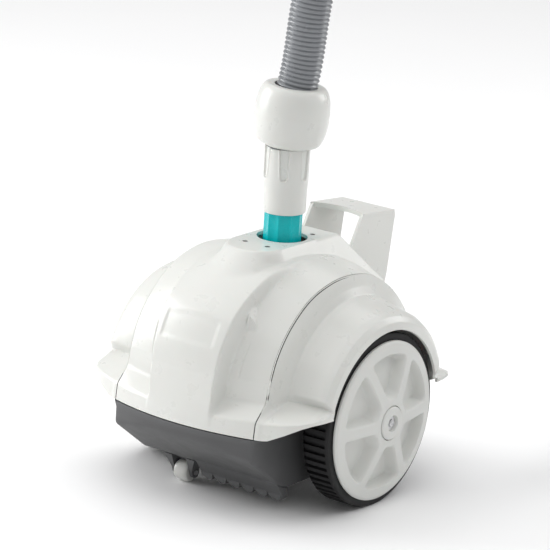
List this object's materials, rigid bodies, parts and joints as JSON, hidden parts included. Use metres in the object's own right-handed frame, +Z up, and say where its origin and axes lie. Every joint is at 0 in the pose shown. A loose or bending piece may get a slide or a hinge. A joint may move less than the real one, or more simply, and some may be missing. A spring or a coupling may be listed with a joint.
{
  "type": "suction pool cleaner",
  "caption": "Domed suction pool cleaner with driven wheels, a turbine gear train, a swivelling hose connector, float and corrugated hose.",
  "frame": {"origin": "on the floor, under the centre of the machine and under the hose swivel", "axes": "+Z up; -Y towards the front with the raised nose; X along the wheel axle, +X to the right seen from the back"},
  "size_m": [0.5168, 0.6927, 0.7625],
  "materials": {
    "shell": "glossy moulded white",
    "chassis": "satin dark grey",
    "tyre": "black rubber",
    "wheel": "satin white",
    "teal": "glossy teal",
    "hose": "satin grey corrugated",
    "cuff": "satin black",
    "steel": "stainless",
    "nylon": "natural nylon",
    "seal": "black rubber",
    "weight": "coated cast iron",
    "foam": "closed cell foam"
  },
  "bodies": {
    "chassis": {"lower_chassis": "chassis", "intake_throat": "chassis", "intake_comb": "chassis", "roller_bracket": "chassis", "roller_pin": "steel", "centre_cover": "shell", "left_fender": "shell", "right_fender": "shell", "rear_handle": "shell", "cover_screws": "steel", "fender_screws": "steel", "turbine_housing_lower": "chassis", "turbine_housing_upper": "chassis", "housing_screws": "steel", "outlet_duct": "chassis", "gearbox_case": "nylon", "gearbox_cover": "nylon", "gearbox_screws": "steel", "layshaft_pin": "steel", "axle_bushes": "nylon", "ballast_weight": "weight", "buoyancy_foam": "foam", "swivel_collar": "shell", "swivel_seal": "seal"},
    "drive_axle": {"drive_axle": "steel", "axle_gear": "nylon", "left_wheel": "wheel", "right_wheel": "wheel", "left_tyre": "tyre", "right_tyre": "tyre", "hub_caps": "wheel", "hub_screws": "steel"},
    "layshaft": {"layshaft_gear": "nylon"},
    "turbine": {"turbine_rotor": "nylon", "turbine_shaft": "steel"},
    "front_roller": {"front_roller": "wheel"},
    "swivel": {"swivel_tube": "teal", "hose_connector": "shell", "connector_seal": "seal", "hose_float": "shell", "hose": "hose", "hose_cuff": "cuff"}
  },
  "joints": [
    {"name": "axle_spin", "type": "hinge", "parent": "chassis", "child": "drive_axle", "pos_m": [0, -0.002, 0.097], "axis": [1, 0, 0], "continuous": true},
    {"name": "layshaft_spin", "type": "hinge", "parent": "chassis", "child": "layshaft", "pos_m": [-0.048, -0.02603, 0.13504], "axis": [1, 0, 0], "continuous": true},
    {"name": "turbine_spin", "type": "hinge", "parent": "chassis", "child": "turbine", "pos_m": [0, -0.062, 0.108], "axis": [1, 0, 0], "continuous": true},
    {"name": "roller_spin", "type": "hinge", "parent": "chassis", "child": "front_roller", "pos_m": [-0.046, -0.09, 0.012], "axis": [1, 0, 0], "continuous": true},
    {"name": "hose_swivel", "type": "hinge", "parent": "chassis", "child": "swivel", "pos_m": [0, 0, 0.241], "axis": [0, 0, 1], "continuous": true}
  ],
  "couplings": [
    {"joint": "layshaft_spin", "follows": "axle_spin", "ratio": -3.5455},
    {"joint": "turbine_spin", "follows": "axle_spin", "ratio": 12.57}
  ]
}
